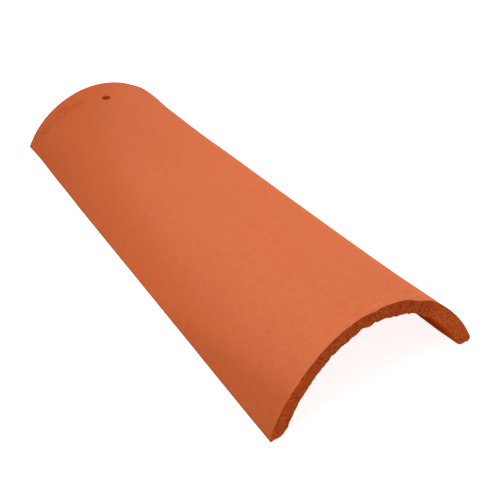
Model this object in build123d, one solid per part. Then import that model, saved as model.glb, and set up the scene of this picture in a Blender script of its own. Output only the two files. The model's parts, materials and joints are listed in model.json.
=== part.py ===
from build123d import *
from math import acos, atan2, cos, degrees, pi, radians, sin, sqrt, tan
import os

# A curved clay roof tile, crown up, as it lies on a level floor.
# A slab of clay was bent over a tapered former and fired, so the tile is one solid.
# X runs across the tile, Y along it towards the narrow end, and Z up.
# The origin is on the floor, under the middle of the tile.

# Sizes in millimetres
length = 500.0              # from end to end
wide_width = 214.0          # over the feet at the wide end, before their edges are rounded
narrow_width = 161.0        # the same at the narrow end
wide_side_length = 67.0     # inside of each side at the wide end, from its foot up to the crown's arc
narrow_side_length = 1.0    # the same at the narrow end, where the crown's arc nearly reaches the foot
side_radius = 160.0         # of the sides' outside, which is flatter than the crown
wall = 14.0                 # thickness of the clay
foot_outer_round = 2.5      # radius where the outside meets the foot
foot_inner_round = 8.0      # radius where the inside meets the foot
foot_settling = 0.5         # how much of each foot's rounded edge was pressed level in drying
end_bevel = 1.0             # worn edge round both end faces
nail_hole_diameter = 8.0
nail_hole_setback = 33.0    # from the narrow end to the middle of the hole
nail_hole_offset = 2.5      # to the right of the crown line, because it was punched by hand

# Angles in degrees
wide_foot_angle = 65.8      # of each side's inside above the floor, at the wide end
narrow_foot_angle = 54.9    # the same at the narrow end
middle_angle_drop = 2.8     # how much flatter the sides lie half-way along

# The flare: a larger power keeps it nearer to the ends
flare_power = 4
section_count = 7           # sections that the surface is drawn through


def from_wide_to_narrow(wide, narrow, y):
    """A size that changes evenly from the wide end to the narrow end."""
    return wide + (narrow - wide) * (y + length / 2) / length


def foot_angle_at(y):
    """Slope of the sides at their feet, in radians. They lie flatter between the flared ends."""
    from_middle = abs(2 * y / length)
    drop = middle_angle_drop * (1 - from_middle**flare_power)
    return radians(from_wide_to_narrow(wide_foot_angle, narrow_foot_angle, y) - drop)


def crown_angle_at(y):
    """Angle from the top of the crown at which its arc runs into the side."""
    side_length = from_wide_to_narrow(wide_side_length, narrow_side_length, y)
    return foot_angle_at(y) - side_length / (side_radius - wall)


def side_centre_at(y):
    """Across and up to the point that the right side is bent round."""
    up = foot_inner_round - (side_radius - wall + foot_inner_round) * cos(foot_angle_at(y))
    half_width = from_wide_to_narrow(wide_width, narrow_width, y) / 2
    across = half_width - sqrt(side_radius**2 - up**2)
    return across, up - foot_settling


def crown_radius_at(y):
    """Outer radius of the crown, which runs smoothly into the sides."""
    across, _ = side_centre_at(y)
    return side_radius + across / sin(crown_angle_at(y))


def crown_centre_at(y):
    """Height of the point that the crown is bent round, which is below the floor."""
    across, up = side_centre_at(y)
    return up - across / tan(crown_angle_at(y))


def crown_height_at(y):
    return crown_centre_at(y) + crown_radius_at(y)


def around(centre, radius, angle):
    """Point at an angle round a centre. Angles run clockwise from straight up."""
    return centre[0] + radius * sin(angle), centre[1] + radius * cos(angle)


def arc(centre, radius, start, end):
    return ThreePointArc(*[around(centre, radius, angle) for angle in (start, (start + end) / 2, end)])


def half_section_at(y, inset=0.0):
    """Right half of the tile's section, from the crown to its foot, drawn in all round by an inset."""
    top, down = 0, pi
    crown_angle = crown_angle_at(y)
    crown_centre = (0, crown_centre_at(y))
    crown_radius = crown_radius_at(y)
    side_centre = side_centre_at(y)

    # Each foot turn rolls along the side until it touches the floor
    outer_reach = side_radius - foot_outer_round
    inner_reach = side_radius - wall + foot_inner_round
    outer_angle = acos((foot_outer_round - foot_settling - side_centre[1]) / outer_reach)
    inner_angle = foot_angle_at(y)
    outer_centre = around(side_centre, outer_reach, outer_angle)
    inner_centre = around(side_centre, inner_reach, inner_angle)

    crown = arc(crown_centre, crown_radius - inset, top, crown_angle)
    outside = arc(side_centre, side_radius - inset, crown_angle, outer_angle)
    outer_turn = arc(outer_centre, foot_outer_round - inset, outer_angle, down)
    inner_turn = arc(inner_centre, foot_inner_round - inset, down, down + inner_angle)
    inside = arc(side_centre, side_radius - wall + inset, inner_angle, crown_angle)
    soffit = arc(crown_centre, crown_radius - wall + inset, crown_angle, top)

    foot = Line(outer_turn @ 1, inner_turn @ 0)
    middle = Line(soffit @ 1, crown @ 0)
    outline = [crown, outside, outer_turn, foot, inner_turn, inside, soffit, middle]
    return Plane.XZ.offset(-y) * Face(Wire(outline))


def bent_slab():
    """The slab over its former: its right half, drawn through sections, and the mirror of that."""
    half = length / 2 - end_bevel
    places = [-half + 2 * half * i / (section_count - 1) for i in range(section_count)]
    side = loft([half_section_at(y) for y in places])
    worn_ends = [
        loft([half_section_at(end * half), half_section_at(end * length / 2, end_bevel)], ruled=True)
        for end in (-1, 1)
    ]
    side = side.fuse(*worn_ends, glue=True)
    return side.fuse(mirror(side, about=Plane.YZ), glue=True)


def nail_hole():
    """The nail hole's drill, square to the clay, and long enough to pass it."""
    y = length / 2 - nail_hole_setback
    radius = nail_hole_diameter / 2
    crown_line = crown_height_at(y + radius) - crown_height_at(y - radius)
    pitch = degrees(atan2(crown_line, nail_hole_diameter))
    lean = degrees(nail_hole_offset / crown_radius_at(y))
    drill = Pos(0, 0, -wall / 2) * Cylinder(radius, 2 * wall)
    mouth = Pos(0, y, crown_centre_at(y)) * Rot(0, lean, 0) * Pos(0, 0, crown_radius_at(y))
    return mouth * Rot(pitch, 0, 0) * drill


# What would be under the floor is left off, so that the tile rests on two level strips
tile = split(bent_slab(), Plane.XY, keep=Keep.TOP) - nail_hole()
tile.label = "curved_tile"
tile.color = Color(0.66, 0.33, 0.18)

os.makedirs("parts", exist_ok=True)
export_step(tile, "parts/curved_tile.step")
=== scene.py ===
import bpy
import json
from math import cos, pi, radians, sin
from mathutils import Matrix, Vector


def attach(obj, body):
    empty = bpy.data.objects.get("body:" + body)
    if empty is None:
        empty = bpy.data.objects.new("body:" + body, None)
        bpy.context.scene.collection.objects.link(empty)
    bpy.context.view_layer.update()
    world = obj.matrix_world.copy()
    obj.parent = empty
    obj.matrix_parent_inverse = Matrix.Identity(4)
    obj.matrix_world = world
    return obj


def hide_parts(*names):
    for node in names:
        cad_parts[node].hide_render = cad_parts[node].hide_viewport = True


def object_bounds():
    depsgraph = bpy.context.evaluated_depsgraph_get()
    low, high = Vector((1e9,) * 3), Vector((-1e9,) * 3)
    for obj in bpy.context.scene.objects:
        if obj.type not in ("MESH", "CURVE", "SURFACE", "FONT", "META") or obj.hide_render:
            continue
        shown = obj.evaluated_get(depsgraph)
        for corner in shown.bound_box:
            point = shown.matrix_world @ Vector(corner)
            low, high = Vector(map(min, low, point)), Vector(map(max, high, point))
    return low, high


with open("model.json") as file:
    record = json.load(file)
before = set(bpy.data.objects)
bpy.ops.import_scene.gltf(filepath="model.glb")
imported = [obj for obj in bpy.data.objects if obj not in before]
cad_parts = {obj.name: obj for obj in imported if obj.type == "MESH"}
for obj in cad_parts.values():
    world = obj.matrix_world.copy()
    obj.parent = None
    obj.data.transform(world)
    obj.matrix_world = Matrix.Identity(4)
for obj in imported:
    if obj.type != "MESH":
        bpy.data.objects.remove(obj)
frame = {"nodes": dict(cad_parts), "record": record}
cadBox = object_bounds()
print("frame loaded:", sorted(frame["nodes"]))


class Wire:  # a node's socket that Python can calculate with
    def __init__(self, graph, socket):
        self.graph = graph
        self.socket = socket

    def maths(self, operation, *values):
        vectors = any(isinstance(value, tuple) for value in values) or self.socket.type == "VECTOR"
        kind = "ShaderNodeVectorMath" if vectors else "ShaderNodeMath"
        return self.graph.add(kind, {"operation": operation}, dict(enumerate(values)))

    def __add__(self, other):
        return self.maths("ADD", self, other)

    def __radd__(self, other):
        return self.maths("ADD", other, self)

    def __sub__(self, other):
        return self.maths("SUBTRACT", self, other)

    def __rsub__(self, other):
        return self.maths("SUBTRACT", other, self)

    def __mul__(self, other):
        return self.maths("MULTIPLY", self, other)

    def __rmul__(self, other):
        return self.maths("MULTIPLY", other, self)

    def __truediv__(self, other):
        return self.maths("DIVIDE", self, other)

    def __rtruediv__(self, other):
        return self.maths("DIVIDE", other, self)

    def __pow__(self, other):
        return self.maths("POWER", self, other)

    def __neg__(self):
        return self.maths("MULTIPLY", self, -1.0)

    def __abs__(self):
        return self.maths("ABSOLUTE", self)

    def __gt__(self, other):
        return self.maths("GREATER_THAN", self, other)

    def __lt__(self, other):
        return self.maths("LESS_THAN", self, other)

    def arcCosine(self):
        return self.maths("ARCCOSINE", self)

    def root(self):
        return self.maths("SQRT", self)

    def sign(self):
        return self.maths("SIGN", self)

    def atLeast(self, lowest):
        return self.maths("MAXIMUM", self, lowest)

    def atMost(self, highest):
        return self.maths("MINIMUM", self, highest)

    def between(self, lowest, highest):
        return self.atLeast(lowest).atMost(highest)

    def rise(self, start, full):  # 0 at the start, 1 where it is full, and smooth between them
        inputs = {"Value": self, "From Min": start, "From Max": full}
        return self.graph.add("ShaderNodeMapRange", {"interpolation_type": "SMOOTHSTEP"}, inputs)


def sine(angle):
    return angle.maths("SINE", angle) if isinstance(angle, Wire) else sin(angle)


def cosine(angle):
    return angle.maths("COSINE", angle) if isinstance(angle, Wire) else cos(angle)


mixSockets = {"first": 6, "second": 7, "result": 2}  # a Mix node's sockets for colours


class Graph:  # adds the nodes of one tree
    def __init__(self, tree):
        self.tree = tree

    def add(self, kind, settings={}, inputs={}, output=0):
        node = self.tree.nodes.new(kind)
        for name, value in settings.items():
            setattr(node, name, value)
        for name, value in inputs.items():
            if isinstance(value, Wire):
                self.tree.links.new(value.socket, node.inputs[name])
            else:
                node.inputs[name].default_value = value
        return Wire(self, node.outputs[output]) if len(node.outputs) else node

    def vector(self, x, y, z):
        return self.add("ShaderNodeCombineXYZ", {}, {"X": x, "Y": y, "Z": z})

    def parts(self, vector):
        return self.outputs(self.add("ShaderNodeSeparateXYZ", {}, {"Vector": vector}))

    def outputs(self, wire):  # everything that a wire's node gives
        return [Wire(self, socket) for socket in wire.socket.node.outputs]

    def mix(self, factor, first, second, blend="MIX"):  # of two colours
        inputs = {"Factor": factor, mixSockets["first"]: first, mixSockets["second"]: second}
        settings = {"data_type": "RGBA", "blend_type": blend}
        return self.add("ShaderNodeMix", settings, inputs, mixSockets["result"])

    def tint(self, colour, factor, second):  # a colour multiplied by another one
        return self.mix(factor, colour, second, "MULTIPLY")

    def noise(self, vector, scale, detail, roughness, stretch, seed):
        inputs = {"Vector": vector * stretch, "W": seed, "Scale": scale, "Detail": detail}
        return self.add("ShaderNodeTexNoise", {"noise_dimensions": "4D"}, {**inputs, "Roughness": roughness})

    def cells(self, vector, scale, stretch, seed):
        inputs = {"Vector": vector * stretch, "W": seed, "Scale": scale}
        return self.add("ShaderNodeTexVoronoi", {"voronoi_dimensions": "4D"}, inputs)


def shade(owner, output, build):  # gives a material or the world the nodes that build adds
    owner.use_nodes = True
    owner.node_tree.nodes.clear()
    graph = Graph(owner.node_tree)
    graph.add(output, {}, {"Surface": build(graph)})
    return owner


def place(name, data):  # puts a new object at the origin
    thing = bpy.data.objects.new(name, data)
    bpy.context.collection.objects.link(thing)
    return thing


# The camera stands where the photograph's stood. Lengths are in metres, angles in degrees
cameraView = {
    "azimuth": -32.23,
    "elevation": 38.53,
    "roll": -1.95,
    "distance": 1.1726,
    "target": (0.01223, -0.04325, 0.00871),
    "lens": 89.32,  # mm, as the sensor is
    "sensor": 36.0,
    "nearest": 0.05,
}


def makeCamera():
    azimuth = radians(cameraView["azimuth"])
    elevation = radians(cameraView["elevation"])
    roll = radians(cameraView["roll"])
    back = Vector((sin(azimuth) * cos(elevation), -cos(azimuth) * cos(elevation), sin(elevation)))
    right = Vector((0, 0, 1)).cross(back).normalized()
    up = back.cross(right)
    rolledRight = right * cos(roll) + up * sin(roll)
    rolledUp = up * cos(roll) - right * sin(roll)
    stand = Vector(cameraView["target"]) + back * cameraView["distance"]
    data = bpy.data.cameras.new("camera")
    data.lens = cameraView["lens"]
    data.sensor_width = cameraView["sensor"]
    data.clip_start = cameraView["nearest"]
    camera = place("camera", data)
    turn = Matrix((rolledRight, rolledUp, back)).transposed().to_4x4()
    camera.matrix_world = Matrix.Translation(stand) @ turn
    bpy.context.scene.camera = camera
    print("camera placed")


makeCamera()


# The tile: a flat slab of clay, cut by wire, bent over a tapered former. Metres and degrees
even = (1, 1, 1)  # a pattern that isn't stretched
roofTile = {
    "sizes": {  # the inputs of the tile's tree
        "length": cadBox[1].y - cadBox[0].y,
        "wideWidth": 0.214,
        "narrowWidth": 0.161,
        "wideSideLength": 0.067,
        "narrowSideLength": 0.001,
        "sideRadius": 0.160,
        "wall": 0.014,
        "footOuterRound": 0.0025,
        "footInnerRound": 0.008,
        "footSettling": 0.0005,
        "wideFootAngle": 65.8,
        "narrowFootAngle": 54.9,
        "angleDrop": 2.8,
        "flarePower": 4.0,
        "waveDepth": 0.0001,  # soft unevenness of the moulded faces
        "rightFootWear": 0.0012,  # added to the outer round of each foot at the wide end
        "leftFootWear": 0.0004,
        "footWearReach": 0.050,
        "sharperInnerFoot": 0.0055,  # taken off the inner round of each foot between the ends
        "leftInnerWear": 0.0035,  # added to the inner round of the left foot at the wide end
        "innerFootReach": 0.030,  # how far from the ends the inner round changes
        "arrisRound": 0.00025,  # of the ends' edges
        "legArrisRound": 0.0004,  # added to it on the outside of the right leg
        "burrHeight": 0.0009,  # clay pressed up along the outer edge, left of the crown
        "burrReach": 0.004,
        "raggedDepth": 0.0014,  # torn clay along the ends' inner edges
        "wireDepth": 0.0003,  # lines that the wire left across the end
        "grainDepth": 0.0004,
        "swellDepth": 0.0002,
        "pitDepth": 0.0009,
        "edgeRelief": 0.25,  # share of the cut ends' relief that is left at their edges
        "leastArris": 0.2,  # least share of the arris's round, and what a noise adds to it
        "arrisSpread": 1.6,
        "leastChip": 0.5,  # least share of a chip's and a scallop's depth, and the most of a lip's
        "leastScallop": 0.6,
        "mostLip": 1.3,
        "seed": 3.0,
    },
    "mesh": {"across": 321, "along": 139, "through": 11},
    "creaseAngle": 50.0,
    "drill": {"sides": 48, "rings": 60, "reach": 0.03, "mouthFlare": 0.0008, "mouthDepth": 0.0012},
    "noises": {  # lumps a metre, detail, roughness, stretch and what is added to the seed
        "wave": (22.0, 1.0, 0.5, even, 0.0),
        "rub": (170.0, 2.0, 0.6, (1, 0.1, 0.1), 3.0),
        "torn": (110.0, 4.0, 0.65, (1, 0.1, 0.1), 5.0),
        "wireLines": (430.0, 2.0, 0.5, (1, 0.2, 0.1), 0.0),
        "grain": (260.0, 3.0, 0.6, (1, 0.2, 1), 4.0),
        "swell": (40.0, 1.0, 0.5, (1, 0.1, 1), 8.0),
        "pitted": (60.0, 1.0, 0.5, (1, 0.1, 1), 6.0),
    },
    "pits": (200.0, (1, 0.1, 1), 2.0),  # pits a metre, stretch and what is added to the seed
    "spans": {  # where each starts to show and where it is full, as values of its noise or cells
        "wave": (0.25, 0.75),
        "torn": (0.38, 0.66),
        "grain": (0.3, 0.75),
        "pits": (0.30, 0.12),
        "pitted": (0.45, 0.6),
        "edge": (0.0, 0.12),  # in shares of the wall
        "cut": (0.4, 0.6),  # how squarely a face looks along the tile
        "end": (0.003, 0.0),  # in metres from here on: from the end
        "burrRight": (-0.006, -0.018),  # across the slab
        "burrLeft": (-0.143, -0.136),
        "rightLeg": (0.046, 0.052),
        "worn": (0.00010, 0.00035),  # depth of wear
    },
    # Wear of the wide end's edges: place across the slab, half width, depth, and reach from the end
    "chips": [  # in the outer edge
        (-0.0025, 0.0050, 0.0012, 0.003), (0.0455, 0.0160, 0.0019, 0.009),
        (-0.0670, 0.0030, 0.0003, 0.002), (-0.0890, 0.0035, 0.0009, 0.002),
        (-0.0280, 0.0030, 0.0005, 0.002), (0.1000, 0.0040, 0.0006, 0.002),
    ],
    "scallops": [  # in the inner edge
        (-0.0165, 0.0055, 0.0017, 0.003), (-0.0540, 0.0035, 0.0010, 0.002),
        (-0.0760, 0.0120, 0.0006, 0.002), (-0.0900, 0.0060, 0.0006, 0.002),
        (-0.1030, 0.0070, 0.0007, 0.002), (-0.0030, 0.0040, 0.0009, 0.002),
        (-0.0290, 0.0060, 0.0006, 0.002), (-0.0670, 0.0030, 0.0003, 0.002),
    ],
    "lips": [  # clay that the wire dragged past the inner edge
        (0.0240, 0.0200, 0.0012, 0.006), (-0.0090, 0.0045, 0.0005, 0.006),
        (-0.1300, 0.0090, 0.0006, 0.006), (-0.0370, 0.0060, 0.0003, 0.006),
        (0.0350, 0.0090, 0.0016, 0.006), (0.0600, 0.0160, 0.0012, 0.006),
        (-0.1240, 0.0140, 0.0006, 0.006), (-0.1120, 0.0050, 0.0009, 0.006),
        (-0.0920, 0.0060, 0.0005, 0.006), (-0.0385, 0.0070, 0.0006, 0.006),
    ],
    # Where the sheet sprang off its former or sank: across and along the slab, half widths, and height
    "bulges": [
        (0.0720, 0.2380, 0.0240, 0.0380, 0.0017),
        (0.0800, 0.1400, 0.0350, 0.0580, -0.0005),
        (0.0900, -0.2150, 0.0350, 0.0350, 0.0002),
        (-0.1000, 0.2200, 0.0250, 0.0550, -0.0011),
        (-0.1020, 0.1600, 0.0250, 0.0450, -0.0005),
    ],
}
nailHole = next(mount for mount in frame["record"]["mounts"] if mount["name"] == "nail_hole")


def roundedInset(distance, radius):  # how far a round edge is drawn in at a distance from the end
    gap = (radius - distance).atLeast(0.0)
    return radius - (radius * radius - gap * gap).atLeast(0.0).root()


def spot(across, along, mark):  # 1 in the middle of a soft spot, 0 from its half widths outwards
    x, y, halfAcross, halfAlong = mark[:4]
    return abs(across - x).rise(halfAcross, 0.0) * abs(along - y).rise(halfAlong, 0.0)


class SlabRule:  # where a point of the flat slab goes when it is bent
    def __init__(self, graph, size, across, along, depth):
        self.graph = graph
        self.size = size
        self.side = across.sign()
        self.reach = abs(across)
        self.depth = depth
        share = along * along * (3.0 - 2.0 * along)  # rows stand closer near both ends
        self.y = (share - 0.5) * size["length"]
        self.wideDistance = share * size["length"]
        self.narrowDistance = (1.0 - share) * size["length"]
        self.endDistance = self.wideDistance.atMost(self.narrowDistance)
        self.setSection(share)
        # The same point on the flat slab, for patterns that follow the clay
        self.slabAcross = self.side * self.reach * self.girth
        self.slab = graph.vector(self.slabAcross, self.y, depth * size["wall"])

    def between(self, wide, narrow, share):
        return self.size[wide] + (self.size[narrow] - self.size[wide]) * share

    def setSection(self, share):
        size = self.size
        right = self.side > 0.0
        footWear = size["leftFootWear"] + (size["rightFootWear"] - size["leftFootWear"]) * right
        footRound = size["footOuterRound"] + footWear * self.wideDistance.rise(size["footWearReach"], 0.0)
        drop = size["angleDrop"] * (1.0 - abs(2.0 * share - 1.0) ** size["flarePower"])
        footAngle = (self.between("wideFootAngle", "narrowFootAngle", share) - drop) * (pi / 180)
        innerSide = size["sideRadius"] - size["wall"]
        crownAngle = footAngle - self.between("wideSideLength", "narrowSideLength", share) / innerSide
        up = size["footInnerRound"] - (innerSide + size["footInnerRound"]) * cosine(footAngle)
        inward = (size["sideRadius"] * size["sideRadius"] - up * up).root()
        across = self.between("wideWidth", "narrowWidth", share) / 2.0 - inward
        crownRadius = size["sideRadius"] + across / sine(crownAngle)
        outerAngle = ((footRound - up) / (size["sideRadius"] - footRound)).arcCosine()
        nearWide = self.wideDistance.rise(size["innerFootReach"], 0.0)
        sharper = size["sharperInnerFoot"] * self.endDistance.rise(0.0, size["innerFootReach"])
        leftWear = size["leftInnerWear"] * nearWide * (self.side < 0.0)
        innerRound = size["footInnerRound"] - sharper + leftWear
        innerAngle = ((innerRound - up) / (innerSide + innerRound)).arcCosine()
        self.top = up - across * cosine(crownAngle) / sine(crownAngle) + crownRadius - size["footSettling"]
        self.outside = [  # radius, first and last angle of each arc, from the crown down
            (crownRadius, 0.0, crownAngle),
            (size["sideRadius"], crownAngle, outerAngle),
            (footRound, outerAngle, pi),
        ]
        self.inside = [
            (crownRadius - size["wall"], 0.0, crownAngle),
            (innerSide, crownAngle, innerAngle),
            (-innerRound, innerAngle, 0.0),
        ]
        self.girth = sum(radius * (last - first) for radius, first, last in self.outside)
        self.innerGirth = sum(radius * (last - first) for radius, first, last in self.inside)

    def bend(self, arcs, girth, inset):  # across and down from the crown, with the arcs widened by an inset
        gone = self.reach * girth
        x = z = 0.0
        for radius, first, last in arcs:
            span = radius * (last - first)
            angle = gone.between(0.0, span) / radius + first
            x = (radius + inset) * (sine(angle) - sine(first)) + x
            z = (radius + inset) * (cosine(angle) - cosine(first)) + z
            gone = gone - span
        return x, z

    def place(self, outerInset, innerInset):
        outerX, outerZ = self.bend(self.outside, self.girth, -outerInset)
        innerX, innerZ = self.bend(self.inside, self.innerGirth, innerInset)
        outerZ = outerZ + self.top - outerInset
        innerZ = innerZ + self.top - self.size["wall"] + innerInset
        x = (outerX + (innerX - outerX) * self.depth) * self.side
        z = (outerZ + (innerZ - outerZ) * self.depth).atLeast(0.0)
        return x, z

    def noise(self, name):
        scale, detail, roughness, stretch, seed = roofTile["noises"][name]
        return self.graph.noise(self.slab, scale, detail, roughness, stretch, self.size["seed"] + seed)

    def noiseRise(self, name):
        return self.noise(name).rise(*roofTile["spans"][name])

    def wear(self, kind):  # how deep the marks of one kind are
        depth = 0.0
        for middle, halfWidth, deep, reach in roofTile[kind]:
            near = self.wideDistance.rise(reach, 0.0)
            depth = abs(self.slabAcross - middle).rise(halfWidth, 0.0) * near * deep + depth
        return depth


def endRelief(graph, rule):  # how far each point of a cut end lies behind the flat
    size = rule.size
    scale, stretch, seed = roofTile["pits"]
    pits = graph.cells(rule.slab, scale, stretch, size["seed"] + seed).rise(*roofTile["spans"]["pits"])
    relief = rule.noise("wireLines") * size["wireDepth"] + rule.noiseRise("grain") * size["grainDepth"]
    relief = relief + rule.noise("swell") * size["swellDepth"]
    return relief + pits * rule.noiseRise("pitted") * size["pitDepth"]


def moveToTile(graph, size):  # each point's place on the bent slab and on the flat one, and its wear
    across, along, depth = graph.parts(graph.add("GeometryNodeInputPosition"))
    rule = SlabRule(graph, size, across, along + 0.5, 0.5 - depth)
    spans = roofTile["spans"]

    wave = rule.noiseRise("wave") * size["waveDepth"]
    bulge = sum(spot(rule.slabAcross, rule.y, mark) * mark[4] for mark in roofTile["bulges"])

    rub = rule.noise("rub")
    torn = rule.noiseRise("torn")
    chips = rule.wear("chips") * (size["leastChip"] + rub)
    scallops = rule.wear("scallops") * (size["leastScallop"] + rub)
    lips = rule.wear("lips") * (size["mostLip"] - torn)
    left = rule.slabAcross.rise(*spans["burrRight"]) * rule.slabAcross.rise(*spans["burrLeft"])
    burr = left * rule.wideDistance.rise(size["burrReach"], 0.0) * size["burrHeight"]
    arrisRound = size["arrisRound"] + rule.slabAcross.rise(*spans["rightLeg"]) * size["legArrisRound"]
    arris = roundedInset(rule.endDistance, arrisRound * (size["leastArris"] + rub * size["arrisSpread"]))
    ragged = size["arrisRound"] + torn * size["raggedDepth"]
    innerWear = roundedInset(rule.endDistance, ragged) + scallops
    worn = (arris + (innerWear - arris) * rule.depth).rise(*spans["worn"])
    x, z = rule.place(arris + chips + wave - bulge - burr, innerWear + wave + bulge - lips)

    edge = rule.depth.atMost(1.0 - rule.depth).rise(*spans["edge"])
    relief = endRelief(graph, rule) * (size["edgeRelief"] + (1.0 - size["edgeRelief"]) * edge)
    y = rule.y + relief * (rule.wideDistance.rise(*spans["end"]) - rule.narrowDistance.rise(*spans["end"]))
    return graph.vector(x, y, z), rule.slab, worn


def keepField(graph, geometry, name, kind, value):
    inputs = {"Geometry": geometry, "Name": name, "Value": value}
    return graph.add("GeometryNodeStoreNamedAttribute", {"data_type": kind, "domain": "CORNER"}, inputs)


def holeDrill(graph):  # a round cutter, a little wider at its mouth, square to the crown line
    drill = roofTile["drill"]
    radius = nailHole["dims"]["r_mm"] / 1000
    wall = nailHole["dims"]["length_mm"] / 1000
    size = {"Radius": radius, "Depth": drill["reach"]}
    counts = {"Vertices": drill["sides"], "Side Segments": drill["rings"]}
    cylinder = graph.add("GeometryNodeMeshCylinder", {}, {**counts, **size})
    x, y, z = graph.parts(graph.add("GeometryNodeInputPosition"))
    flare = z.rise(wall / 2 - drill["mouthDepth"], wall / 2)
    factor = 1.0 + flare * flare * (drill["mouthFlare"] / radius)
    marked = keepField(graph, cylinder, "slab", "FLOAT_VECTOR", graph.vector(x, y, z))
    marked = keepField(graph, marked, "shadedBore", "FLOAT", 1.0)
    widened = {"Geometry": marked, "Position": graph.vector(x * factor, y * factor, z)}
    flared = graph.add("GeometryNodeSetPosition", {}, widened)
    turn = Vector((0, 0, 1)).rotation_difference(Vector(nailHole["axis"])).to_euler()
    turned = {"Geometry": flared, "Translation": Vector(nailHole["pos_m"]), "Rotation": turn}
    return graph.add("GeometryNodeTransform", {}, turned)


def tileTree(material):
    tree = bpy.data.node_groups.new("bentSlab", "GeometryNodeTree")
    for name in roofTile["sizes"]:
        tree.interface.new_socket(name, in_out="INPUT", socket_type="NodeSocketFloat")
    tree.interface.new_socket("Geometry", in_out="OUTPUT", socket_type="NodeSocketGeometry")
    graph = Graph(tree)
    size = dict(zip(roofTile["sizes"], graph.outputs(graph.add("NodeGroupInput"))))

    # The slab before it is bent: -1 to 1 across, 1 long and 1 thick
    mesh = roofTile["mesh"]
    counts = {"Vertices X": mesh["across"], "Vertices Y": mesh["along"], "Vertices Z": mesh["through"]}
    flat = graph.add("GeometryNodeMeshCube", {}, {"Size": (2.0, 1.0, 1.0), **counts})
    position, slab, worn = moveToTile(graph, size)
    normalY = graph.parts(graph.add("GeometryNodeInputNormal"))[1]
    marked = keepField(graph, flat, "slab", "FLOAT_VECTOR", slab)
    marked = keepField(graph, marked, "cut", "FLOAT", abs(normalY).rise(*roofTile["spans"]["cut"]))
    marked = keepField(graph, marked, "worn", "FLOAT", worn)
    bent = graph.add("GeometryNodeSetPosition", {}, {"Geometry": marked, "Position": position})
    drilled = graph.add("GeometryNodeMeshBoolean", {"operation": "DIFFERENCE", "solver": "EXACT"},
                        {"Mesh 1": bent, "Mesh 2": holeDrill(graph)})
    smooth = graph.add("GeometryNodeSetShadeSmooth", {"domain": "FACE"},
                       {"Geometry": drilled, "Shade Smooth": True})
    crease = graph.add("GeometryNodeInputMeshEdgeAngle") > radians(roofTile["creaseAngle"])
    creased = graph.add("GeometryNodeSetShadeSmooth", {"domain": "EDGE"},
                        {"Geometry": smooth, "Selection": crease, "Shade Smooth": False})
    real = graph.add("GeometryNodeRealizeInstances", {}, {"Geometry": creased})
    done = graph.add("GeometryNodeSetMaterial", {}, {"Geometry": real, "Material": material})
    graph.add("NodeGroupOutput", {}, {"Geometry": done})
    return tree


def makeTile(material):
    tree = tileTree(material)
    holder = place("holder", bpy.data.meshes.new("holder"))
    modifier = holder.modifiers.new("bentSlab", "NODES")
    modifier.node_group = tree
    for item in tree.interface.items_tree:
        if item.in_out == "INPUT":
            modifier[item.identifier] = roofTile["sizes"][item.name]
    evaluated = holder.evaluated_get(bpy.context.evaluated_depsgraph_get())
    mesh = bpy.data.meshes.new_from_object(evaluated)
    holder.modifiers.remove(modifier)
    bpy.data.objects.remove(holder)
    mesh.name = "clayTile"
    triangles = sum(len(face.vertices) - 2 for face in mesh.polygons)
    print("tile made:", len(mesh.vertices), "points,", triangles, "triangles")
    return place("clayTile", mesh)


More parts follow.
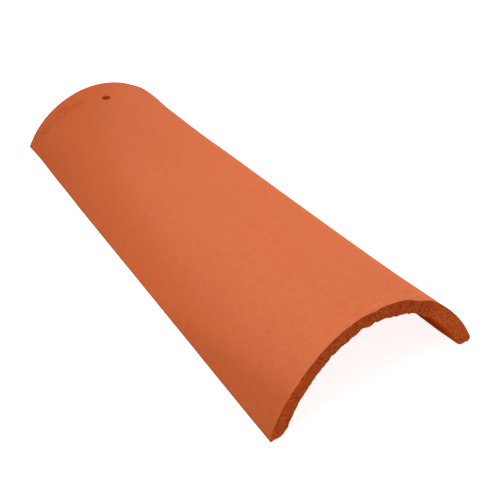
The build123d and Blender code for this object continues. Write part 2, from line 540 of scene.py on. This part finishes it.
# The fired clay. Colours are linear, and those named as tints multiply the colour under them
clay = {
    "skin": (0.693, 0.173, 0.0665, 1.0),
    "skinDark": (0.641, 0.149, 0.0525, 1.0),
    "paintedShadeTint": (1.0, 0.88, 0.75, 1.0),  # painted shade, darker and redder on the far end and the left side
    "paintedLightTint": (1.085, 1.04, 1.0, 1.0),  # painted light, lighter on the right side towards the wide end
    "footTint": (0.90, 0.91, 0.92, 1.0),  # painted shade on the lowest strip of the left side
    "smudgeTint": (0.87, 0.80, 0.72, 1.0),
    "insideShadeTint": (1.37, 0.80, 0.14, 1.0),  # painted shade of the inside, darker and redder
    "rubbedTint": (1.08, 1.16, 1.20, 1.0),
    "darkRim": (0.42, 0.075, 0.020, 1.0),  # darker, on the worn outer edge of the right leg
    "cut": (0.77, 0.119, 0.0225, 1.0),
    "cutDark": (0.44, 0.055, 0.0075, 1.0),
    "dryTint": (1.19, 1.36, 1.55, 1.0),  # of the right leg's cut end
    # painted shade inside the nail hole
    "shadedBore": (0.54, 0.082, 0.010, 1.0),
    "crumb": (0.85, 0.180, 0.040, 1.0),
    "paintedGlint": (1.45, 0.33, 0.07, 1.0),  # painted highlight on the crumbs in the left foot's torn corner, and along both feet's rims
    "fleck": (0.85, 0.36, 0.20, 1.0),
    "roughness": 0.9,
    "gloss": 0.05,
    "bumpDepth": 0.0003,
    "bumpStrength": 0.27,
    "wideContrast": 1.25,  # of the skin's two colours, at each end
    "narrowContrast": 0.75,
    "paintedShadeLean": 5.0,  # how fast the painted shade gains from right to left
    "paintedShadeLeft": 3.5,  # how much faster left of the crown
    "footSlant": 0.14,  # how far the painted shade of the foot's strip and the painted light of the right side narrow, metres a metre along
    "paintedLightSlant": 0.08,
    "smudgeGain": 1.6,
    "wireMiddle": 0.015,  # across the slab, where the wire's streaks are
    "weights": {
        "cloud": 0.15,  # these three make the skin's shade
        "mottle": 0.4,
        "sand": 0.45,
        "paintedShadeCloud": 0.3,
        "grain": 0.6,  # these two make the cut's
        "pores": 0.4,
        "streaks": 0.6,  # added to it by the wire
        "grainLost": 0.3,  # taken off it by the wire
        "pits": 0.7,
        "crumbs": 0.7,
        "litRim": 0.7,
        "sandBump": 0.5,
    },
    "noises": {  # lumps a metre, detail, roughness, stretch and seed
        "cloud": (14.0, 3.0, 0.5, even, 0.0),
        "mottle": (150.0, 3.0, 0.6, even, 3.0),
        "sand": (520.0, 2.0, 0.6, even, 6.0),
        "patches": (200.0, 2.0, 0.6, even, 8.0),
        "rubbing": (300.0, 2.0, 0.6, even, 2.0),
        "sparse": (25.0, 1.0, 0.5, even, 9.0),
        "grain": (380.0, 3.0, 0.65, even, 5.0),
        "pores": (310.0, 3.0, 0.6, even, 4.0),
        "streaks": (800.0, 1.0, 0.5, (1, 1, 0.12), 4.0),
        "crumbs": (330.0, 2.0, 0.6, even, 7.0),
        "paintedGlints": (600.0, 1.0, 0.5, even, 7.0),
    },
    "flecks": (130.0, even, 2.0),  # flecks a metre, stretch and seed
    "pits": (230.0, even, 3.0),
    "spans": {  # where each starts to show and where it is full, as values of its noise or cells
        "shade": (0.34, 0.66),
        "deep": (0.77, 1.12),
        "patches": (0.30, 0.62),
        "rubbing": (0.35, 0.6),
        "flecks": (0.07, 0.03),
        "sparse": (0.60, 0.66),
        "dark": (0.56, 0.36),
        "pits": (0.24, 0.12),
        "crumbs": (0.58, 0.68),
        "paintedGlints": (0.54, 0.68),
        "foot": (-0.118, -0.143),  # in metres from here on: across the slab
        "paintedLight": (0.030, 0.068),
        "wire": (0.05, 0.03),
        "dry": (0.062, 0.078),
        "corner": (-0.130, -0.143),
        "litRim": (0.1430, 0.1480),
        "rightLeg": (0.048, 0.054),
        "tornAcross": (-0.131, -0.137),
        "tornAlong": (-0.2475, -0.2490),  # along it
        "paintedLightAlong": (0.45, -0.05),
        "litRimDepth": (0.0015, 0.0040),  # through the wall
        "inner": (0.004, 0.009),
        "inside": (0.0115, 0.0135),
    },
    # Places on the skin: across and along the slab, and half widths of each
    "rubs": [(0.0030, -0.2440, 0.0080, 0.0050), (0.0450, -0.2420, 0.0110, 0.0050)],
    "smudges": [  # beside the nail hole
        (-0.0440, 0.2340, 0.0190, 0.0140),
        (-0.0260, 0.2290, 0.0120, 0.0070),
        (-0.0700, 0.2360, 0.0130, 0.0090),
    ],
}


def clayNoise(graph, slab, name):
    return graph.noise(slab, *clay["noises"][name])


def skinColour(graph, slab):
    x, y = graph.parts(slab)[:2]
    spans = clay["spans"]
    weights = clay["weights"]
    cloud = clayNoise(graph, slab, "cloud")
    mottle = clayNoise(graph, slab, "mottle")
    sand = clayNoise(graph, slab, "sand")
    mixed = cloud * weights["cloud"] + mottle * weights["mottle"] + sand * weights["sand"]
    share = y / roofTile["sizes"]["length"] + 0.5  # 0 at the wide end and 1 at the narrow end
    contrast = clay["wideContrast"] + (clay["narrowContrast"] - clay["wideContrast"]) * share
    tone = (mixed.rise(*spans["shade"]) - 0.5) * contrast + 0.5
    colour = graph.mix(tone, clay["skinDark"], clay["skin"])
    # Painted shade: darker and redder towards the far end and the left side, broken up by the cloud
    deep = share * share * share - x * clay["paintedShadeLean"] - x.atMost(0.0) * clay["paintedShadeLeft"]
    deep = (deep + cloud * weights["paintedShadeCloud"]).rise(*spans["deep"])
    colour = graph.tint(colour, deep, clay["paintedShadeTint"])
    # Painted shade: the lowest strip of the left side darker
    foot = (x + y * clay["footSlant"]).rise(*spans["foot"])
    colour = graph.tint(colour, foot, clay["footTint"])
    # Painted light: the right side lighter towards the wide end
    paintedLight = (x + y.atLeast(0.0) * clay["paintedLightSlant"]).rise(*spans["paintedLight"]) * y.rise(*spans["paintedLightAlong"])
    colour = graph.tint(colour, paintedLight, clay["paintedLightTint"])
    smudged = (sum(spot(x, y, mark) for mark in clay["smudges"]) * clay["smudgeGain"]).atMost(1.0)
    patches = clayNoise(graph, slab, "patches").rise(*spans["patches"])
    colour = graph.tint(colour, smudged * patches, clay["smudgeTint"])
    rubbed = sum(spot(x, y, mark) for mark in clay["rubs"])
    rubbing = clayNoise(graph, slab, "rubbing").rise(*spans["rubbing"])
    colour = graph.tint(colour, rubbed * rubbing, clay["rubbedTint"])
    flecks = graph.cells(slab, *clay["flecks"]).rise(*spans["flecks"])
    sparse = clayNoise(graph, slab, "sparse").rise(*spans["sparse"])
    return graph.mix(flecks * sparse, colour, clay["fleck"]), sand


def cutColour(graph, slab):
    x, y, depth = graph.parts(slab)
    spans = clay["spans"]
    weights = clay["weights"]
    grain = clayNoise(graph, slab, "grain")
    pores = clayNoise(graph, slab, "pores")
    streaks = clayNoise(graph, slab, "streaks")
    wired = abs(x - clay["wireMiddle"]).rise(*spans["wire"])
    wire = ((streaks - 0.5) * weights["streaks"] - (grain - 0.5) * weights["grainLost"]) * wired
    dark = (grain * weights["grain"] + pores * weights["pores"] + wire).rise(*spans["dark"])
    colour = graph.mix(dark, clay["cut"], clay["cutDark"])
    colour = graph.tint(colour, x.rise(*spans["dry"]), clay["dryTint"])
    pits = graph.cells(slab, *clay["pits"]).rise(*spans["pits"])
    colour = graph.mix(pits * weights["pits"], colour, clay["cutDark"])
    crumbs = clayNoise(graph, slab, "crumbs").rise(*spans["crumbs"])
    colour = graph.mix(crumbs * weights["crumbs"], colour, clay["crumb"])
    # Painted highlight: glints on the crumbs in the left foot's torn corner
    paintedGlints = clayNoise(graph, slab, "paintedGlints").rise(*spans["paintedGlints"])
    colour = graph.mix(paintedGlints * x.rise(*spans["corner"]), colour, clay["paintedGlint"])
    # Painted highlight along both feet's rims
    litRim = abs(x).rise(*spans["litRim"]) * depth.rise(*spans["litRimDepth"])
    return graph.mix(litRim * weights["litRim"], colour, clay["paintedGlint"]), grain


def terracotta(graph):
    slab = graph.add("ShaderNodeAttribute", {"attribute_name": "slab"}, {}, "Vector")
    cut, worn, shadedBore = [graph.add("ShaderNodeAttribute", {"attribute_name": name}, {}, "Fac")
                       for name in ("cut", "worn", "shadedBore")]
    x, y, depth = graph.parts(slab)
    spans = clay["spans"]

    skin, sand = skinColour(graph, slab)
    face, grain = cutColour(graph, slab)
    # Painted shade: the inside darker and redder
    colour = graph.tint(skin, depth.rise(*spans["inside"]), clay["insideShadeTint"])
    inner = depth.rise(*spans["inner"])
    # Darker along the worn outer edge of the right leg; the worn inner edges take the cut's colour
    darkRim = graph.mix(inner, clay["darkRim"], face)
    colour = graph.mix(worn * inner.atLeast(x.rise(*spans["rightLeg"])), colour, darkRim)
    torn = x.rise(*spans["tornAcross"]) * y.rise(*spans["tornAlong"])
    colour = graph.mix(cut.atLeast(torn), colour, face)
    # Painted shade on the wall of the nail hole
    colour = graph.mix(shadedBore, colour, clay["shadedBore"])
    height = sand * clay["weights"]["sandBump"] + grain * cut
    bump = {"Height": height, "Distance": clay["bumpDepth"], "Strength": clay["bumpStrength"]}
    return graph.add("ShaderNodeBsdfPrincipled", {}, {
        "Base Color": colour,
        "Roughness": clay["roughness"],
        "Specular IOR Level": clay["gloss"],
        "Normal": graph.add("ShaderNodeBump", {}, bump),
    })


clayMaterial = shade(bpy.data.materials.new("terracotta"), "ShaderNodeOutputMaterial", terracotta)
print("clay coloured")
tile = makeTile(clayMaterial)
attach(tile, "root")
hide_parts("curved_tile")


# The studio: a pale floor, soft lamps and a white surround
studio = {
    "floorSize": 6.0,
    "floorColour": (0.80, 0.80, 0.80, 1.0),
    "floorLift": 0.87,  # makes the floor white to the camera, and its shadow faint
    "surroundColour": (1.0, 1.0, 1.0, 1.0),
    "surroundStrength": 0.262,
    "lamps": {  # place, width and power
        "above": ((0.0, 0.0, 0.8), 0.4, 2.66),
        "left": ((-0.4, -0.2, 0.7), 0.4, 2.37),
        "right": ((1.5, 0.1, 0.22), 0.4, 8.4),
    },
    "aim": (0.0, 0.0, 0.03),
}


def seenDirectly(graph):  # 1 for rays to the camera, and for what mirrors and glass show
    rays = [graph.add("ShaderNodeLightPath", {}, {}, name) for name in
            ("Is Camera Ray", "Is Glossy Ray", "Is Transmission Ray")]
    return rays[0].atLeast(rays[1]).atLeast(rays[2])


def paleFloor(graph):
    diffuse = graph.add("ShaderNodeBsdfDiffuse", {}, {"Color": studio["floorColour"]})
    glow = graph.add("ShaderNodeEmission", {}, {"Strength": seenDirectly(graph) * studio["floorLift"]})
    return graph.add("ShaderNodeAddShader", {}, {0: diffuse, 1: glow})


def whiteSurround(graph):  # white to the camera, and dimmer as a light
    light = studio["surroundStrength"]
    strength = seenDirectly(graph) * (1.0 - light) + light
    return graph.add("ShaderNodeBackground", {}, {"Color": studio["surroundColour"], "Strength": strength})


def makeStage():
    half = studio["floorSize"] / 2
    mesh = bpy.data.meshes.new("floor")
    corners = [(-half, -half, 0), (half, -half, 0), (half, half, 0), (-half, half, 0)]
    mesh.from_pydata(corners, [], [(0, 1, 2, 3)])
    mesh.materials.append(shade(bpy.data.materials.new("paleFloor"), "ShaderNodeOutputMaterial", paleFloor))
    place("floor", mesh)


def makeLight():
    for name, (stand, width, power) in studio["lamps"].items():
        data = bpy.data.lights.new(name, "AREA")
        data.shape = "SQUARE"
        data.size = width
        data.energy = power
        lamp = place(name, data)
        lamp.location = stand
        lamp.rotation_euler = (Vector(studio["aim"]) - Vector(stand)).to_track_quat("-Z", "Y").to_euler()
    world = bpy.data.worlds.new("surround")
    bpy.context.scene.world = shade(world, "ShaderNodeOutputWorld", whiteSurround)


makeStage()
makeLight()
bpy.context.scene.view_settings.view_transform = "Standard"
print("studio ready")
